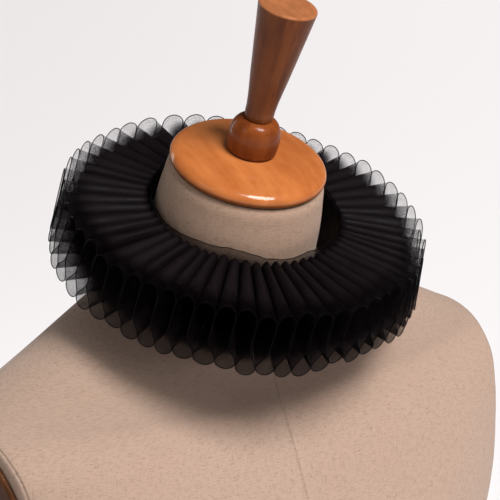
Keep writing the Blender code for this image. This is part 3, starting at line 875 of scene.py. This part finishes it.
class RUFF_OT_closures(bpy.types.Operator):
    """Makes the hooks and eyes that close the neckband at the back."""

    bl_idname = "ruff_collar.closures"
    bl_label = "Hooks and Eyes"

    def execute(self, context):
        sizes, colours = context.scene.ruff_sizes, context.scene.ruff_finishes
        matrix = leaning_frame(RUFF_LEAN, RUFF_OFF_NECK)
        metal = wire_material(colours.wire)
        # The eye lies a gap inside the band where the hook's leg ends, and the hook a gap inside the eye.
        inner = sizes.band_radius - PACKED_BAND_HALF_WALL
        eye_y = math.sqrt(inner**2 - HOOK_LENGTH**2) - SEAM_GAP - WIRE_RADIUS
        hook_y = eye_y - 2 * WIRE_RADIUS - SEAM_GAP
        routes = (("eye", eye_y, wire_route(EYE_HALF_WIDTH, -EYE_LENGTH, -90.0)),
                  ("hook", hook_y, wire_route(2 * WIRE_RADIUS, HOOK_LENGTH, 90.0)))
        for level, depth in zip(("upper", "lower"), CLOSURE_DEPTHS):
            for kind, y, route in routes:
                path = route + np.array([0.0, y, -depth])
                rings = tube_rings(path, WIRE_RADIUS, WIRE_SIDES, np.array([0.0, 1.0, 0.0]))
                piece = surface_object(f"{kind}_{level}_wire", placed(rings, matrix), metal,
                                       closed=True, capped=True)
                fix(piece, f"{kind}_{level}")
        return {"FINISHED"}


def arm_cut_frame(side):
    """The plane that cuts a shoulder's side flat: its z axis points outwards."""
    turn = Matrix.Rotation(-side * ARM_CUT_TOE, 4, "Z")
    turn = turn @ Matrix.Rotation(side * (math.pi / 2 - ARM_CUT_SLANT), 4, "Y")
    return np.array(Matrix.Translation((side * ARM_CUT_X, 0.0, ARM_CUT_Z)) @ turn)


def form_surface():
    """The form's skin [row from seat to neck, column round it, xyz] and its distances from the seams.

    A smooth surface through oval sections and neck rings. Points past an armhole's plane are drawn back
    to it: with s the distance outwards, s becomes (s - sqrt(s^2 + r^2)) / 2, which rounds the rim by r.
    The distances are from the seam in front, from the side seams and from the armholes' seams.
    """
    rings = []
    for height, width, depth, middle, lean, squareness in FORM_SECTIONS:
        ring = oval(width, depth, squareness, FORM_COLUMNS)
        x, y = ring[:, 0], ring[:, 1]
        lean = math.radians(lean)
        rings.append(np.stack([x, y * math.cos(lean) + middle, y * math.sin(lean) + height, y], axis=1))
    neck = leaning_frame(NECK_LEAN)
    for along, radius in NECK_RINGS:
        ring = oval(radius, radius, 2.0, FORM_COLUMNS)
        level = ring + np.array([0.0, 0.0, along])
        rings.append(np.concatenate([placed(level, neck), ring[:, 1:2]], axis=1))
    skin = smooth_through(np.array(rings), FORM_ROWS)
    points, across = skin[..., :3], skin[..., 3]
    arm = np.full(points.shape[:2], NO_SEAM)
    for side in (-1, 1):
        cut = arm_cut_frame(side)
        normal = cut[:3, 2]
        out = (points - cut[:3, 3]) @ normal
        drawn = 0.5 * (out - np.sqrt(out**2 + ARM_RIM_RADIUS**2))
        high = np.clip((points[..., 2] - ARM_CUT_FROM) / ARM_CUT_OVER, 0.0, 1.0)
        points = points + (high * (drawn - out))[..., None] * normal
        near = np.where(points[..., 2] > ARM_SEAM_FROM, out + ARM_SEAM_INSIDE, NO_SEAM)
        arm = np.where(np.abs(near) < np.abs(arm), near, arm)
    # Above its top the seam in front is moved away, further than its drawn width.
    past_top = np.clip((points[..., 2] - FRONT_SEAM_TOP) / FRONT_SEAM_FADE, 0.0, 1.0)
    front = points[..., 0] + np.where(points[..., 1] < 0.0, FRONT_SEAM_OFF + 0.05 * past_top, 0.0)
    return points, np.stack([front, across - SIDE_SEAM_BACK, arm], axis=-1)


class RUFF_OT_form(bpy.types.Operator):
    """Makes the linen cover of the form."""

    bl_idname = "ruff_collar.form"
    bl_label = "Form Cover"

    def execute(self, context):
        points, seams = form_surface()
        # The cover's map: metres round each row from the back's middle, and metres up.
        wrapped = np.concatenate([points, points[:, :1]], axis=1)
        u = running(step_lengths(wrapped, 1))
        v = running(step_lengths(points, 0).mean(axis=1))
        uv = np.stack([u - u[:, -1:] / 2, v[:, None] + 0 * u], axis=-1)
        linen = linen_material(context.scene.ruff_finishes)
        cover = surface_object("form_cover", points, linen, uv, closed=True, capped=True)
        add_attribute(cover, "seams", seams)
        fix(cover, "form_torso")
        return {"FINISHED"}


def wooden_piece(name, node, local, matrix, material):
    """A closed, capped piece of wood, which keeps its own axes for the grain."""
    piece = surface_object(name, placed(local, matrix), material, closed=True, capped=True)
    add_attribute(piece, "turning", local)
    fix(piece, node)


def turned(profile):
    """A solid of revolution: the smoothed profile (height, radius) turned round z."""
    line = smooth_table(profile, PROFILE_ROWS)
    angle = np.arange(TURNED_COLUMNS) * 2 * math.pi / TURNED_COLUMNS
    return polar(line[:, 1:], angle, line[:, :1])


class RUFF_OT_turned_wood(bpy.types.Operator):
    """Turns the neck cap, the knob and the grip."""

    bl_idname = "ruff_collar.turned_wood"
    bl_label = "Cap and Handle"

    def execute(self, context):
        colours = context.scene.ruff_finishes
        neck = leaning_frame(NECK_LEAN)
        seat = Matrix.Translation((0.0, 0.0, GRIP_SEAT)) @ Matrix.Rotation(GRIP_SIDE_LEAN, 4, "Y")
        for name, node, profile, matrix, stretch, coat, more in (
                ("cap", "neck_cap", CAP_PROFILE, neck, (60.0, 9.0, 60.0), 0.45,
                 {"pores": 0.12, "painted_shade": CAP_PAINTED_SHADE}),
                ("knob", "handle_knob", KNOB_PROFILE, neck, (70.0, 70.0, 16.0), 0.2, {}),
                ("grip", "handle_grip", GRIP_PROFILE, neck @ np.array(seat), (120.0, 120.0, 8.0), 0.18,
                 {"end": (GRIP_END, colours.grip_end)})):
            wood = wood_material(f"{name}_varnish", getattr(colours, name), getattr(colours, name + "_grain"),
                                 0.4, stretch, coat, **more)
            wooden_piece(f"{name}_turned", node, turned(profile), matrix, wood)
        return {"FINISHED"}


def plate_points():
    """An oval plate, whose rim is a quarter ellipse: scale falls as the cosine, height rises as the sine."""
    half_height, half_depth, thickness = ARM_PLATE_SIZE
    edge = np.linspace(0.0, math.pi / 2, 9)
    rim = ARM_PLATE_SQUARE_EDGE + (thickness - ARM_PLATE_SQUARE_EDGE) * np.sin(edge)
    heights = np.concatenate([[SEAM_GAP, 0.0012], rim, [thickness] * 3])
    scales = np.concatenate([[1.0, 1.0], 1.0 - 0.07 * (1 - np.cos(edge)), [0.6, 0.3, 0.03]])
    ring = oval(half_height, half_depth, 2.0, ARM_PLATE_COLUMNS)
    return ring * scales[:, None, None] + np.array([0.0, 0.0, 1.0]) * heights[:, None, None]


class RUFF_OT_armhole_plates(bpy.types.Operator):
    """Makes the oval wooden plates in the armholes."""

    bl_idname = "ruff_collar.armhole_plates"
    bl_label = "Armhole Plates"

    def execute(self, context):
        plate = context.scene.ruff_finishes.plate
        wood = wood_material("plate_varnish", plate, tinted(plate, 0.5), 0.5, (26.0, 190.0, 190.0), 0.04)
        for side, name in ((1, "left"), (-1, "right")):
            seat = Matrix.Translation((side * ARM_PLATE_DOWN, ARM_PLATE_Y, 0.0))
            matrix = arm_cut_frame(side) @ np.array(seat @ Matrix.Rotation(side * ARM_PLATE_LEAN, 4, "Z"))
            wooden_piece(f"armhole_plate_{name}_wood", f"armhole_plate_{name}",
                         plate_points(), matrix, wood)
        return {"FINISHED"}


def facing(direction):
    """A turn that points a light's back in this direction, so that it shines the other way."""
    return Vector(direction).to_track_quat("Z", "Y").to_matrix().to_4x4()


def camera_matrix():
    """The camera's place and turn: it looks along its side and height, rolled about that line."""
    level = math.cos(CAMERA_ABOVE)
    back = np.array([-math.sin(CAMERA_SIDE) * level, -math.cos(CAMERA_SIDE) * level, math.sin(CAMERA_ABOVE)])
    right = np.array([math.cos(CAMERA_SIDE), -math.sin(CAMERA_SIDE), 0.0])
    up = np.cross(back, right)
    turned_right = math.cos(CAMERA_ROLL) * right + math.sin(CAMERA_ROLL) * up
    turned_up = math.cos(CAMERA_ROLL) * up - math.sin(CAMERA_ROLL) * right
    aim = CAMERA_TARGET + (turned_right * CAMERA_RIGHT - turned_up * CAMERA_BELOW) / CAMERA_SCALE
    matrix = np.eye(4)
    matrix[:3, 0], matrix[:3, 1], matrix[:3, 2] = turned_right, turned_up, back
    matrix[:3, 3] = aim + back * CAMERA_DISTANCE
    return Matrix(matrix.tolist())


def floor_material(colour):
    """Plain floor with a painted pool of light: it grows lighter from one side of the picture to the other.
    """
    material, tree = new_material("studio_floor", 0.9, Specular_IOR_Level=0.1)
    place = object_place(tree)
    parts = split(tree, place)
    # Painted light: the floor brightens towards the picture's right, standing in for light that is stronger
    # there.
    across = calc(tree, "MULTIPLY_ADD", parts["X"], 0.84, calc(tree, "MULTIPLY", parts["Y"], -0.54))
    light = ramp(tree, across, -0.8, 0.8, 0.0, 0.9)
    light = calc(tree, "MULTIPLY_ADD", noise(tree, place, 0.6, 2.0), 0.1, light)
    finish_with(tree, Base_Color=mix_colour(tree, light, tinted(colour, 0.9), colour))
    return material


class RUFF_OT_stage(bpy.types.Operator):
    """Sets up the floor, the light and the camera."""

    bl_idname = "ruff_collar.stage"
    bl_label = "Studio"

    def execute(self, context):
        scene = context.scene
        reach = np.linspace(-FLOOR_REACH, FLOOR_REACH, 5)
        x, y = np.meshgrid(reach, reach)
        grid = np.stack([x, y, 0 * x], axis=-1)
        surface_object("floor", grid, floor_material(scene.ruff_finishes.floor))
        scene.world = scene.world or bpy.data.worlds.new("studio")
        scene.world.use_nodes = True
        sky = scene.world.node_tree.nodes["Background"]
        sky.inputs["Color"].default_value = SKY_COLOUR
        sky.inputs["Strength"].default_value = SKY_STRENGTH
        sun = bpy.data.lights.new("broad", "SUN")
        sun.energy, sun.angle, sun.color = SUN_POWER, SUN_ANGLE, SUN_COLOUR
        new_object("broad", sun, facing(SUN_FROM))
        for name, place, target, width, height, power, light_colour in AREA_LIGHTS:
            light = bpy.data.lights.new(name, "AREA")
            light.shape = "RECTANGLE"
            light.size, light.size_y = width, height
            light.energy, light.color = power, light_colour
            new_object(name, light, Matrix.Translation(place) @ facing(Vector(place) - Vector(target)))
        camera = bpy.data.cameras.new("camera")
        camera.sensor_width = SENSOR_WIDTH
        camera.lens = CAMERA_SCALE * CAMERA_DISTANCE * SENSOR_WIDTH / PICTURE_WIDTH
        camera.clip_start, camera.clip_end = 0.05, 60.0
        scene.camera = new_object("camera", camera, camera_matrix())
        scene.view_settings.view_transform = "Standard"
        scene.cycles.transparent_max_bounces = 24
        return {"FINISHED"}


PIECES = (RUFF_OT_form, RUFF_OT_turned_wood, RUFF_OT_armhole_plates, RUFF_OT_ruffle, RUFF_OT_neckband,
          RUFF_OT_closures, RUFF_OT_stage)


class RUFF_PT_panel(bpy.types.Panel):
    """Lists the pieces and their sizes and colours."""

    bl_idname = "RUFF_PT_panel"
    bl_label = "Ruff Collar"
    bl_space_type = "VIEW_3D"
    bl_region_type = "UI"
    bl_category = "Ruff Collar"

    def draw(self, context):
        for piece in PIECES:
            self.layout.operator(piece.bl_idname)
        for group in (context.scene.ruff_sizes, context.scene.ruff_finishes):
            box = self.layout.box()
            for key in group.bl_rna.properties.keys():
                if key not in ("rna_type", "name"):
                    box.prop(group, key)


CLASSES = (RuffSizes, Finishes, *PIECES, RUFF_PT_panel)


def register():
    for cls in CLASSES:
        bpy.utils.register_class(cls)
    bpy.types.Scene.ruff_sizes = bpy.props.PointerProperty(type=RuffSizes)
    bpy.types.Scene.ruff_finishes = bpy.props.PointerProperty(type=Finishes)


def unregister():
    del bpy.types.Scene.ruff_finishes
    del bpy.types.Scene.ruff_sizes
    for cls in reversed(CLASSES):
        bpy.utils.unregister_class(cls)


def main():
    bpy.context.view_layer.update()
    register()
    for piece in PIECES:
        group, name = piece.bl_idname.split(".")
        getattr(getattr(bpy.ops, group), name)()


if __name__ == "__main__":
    main()
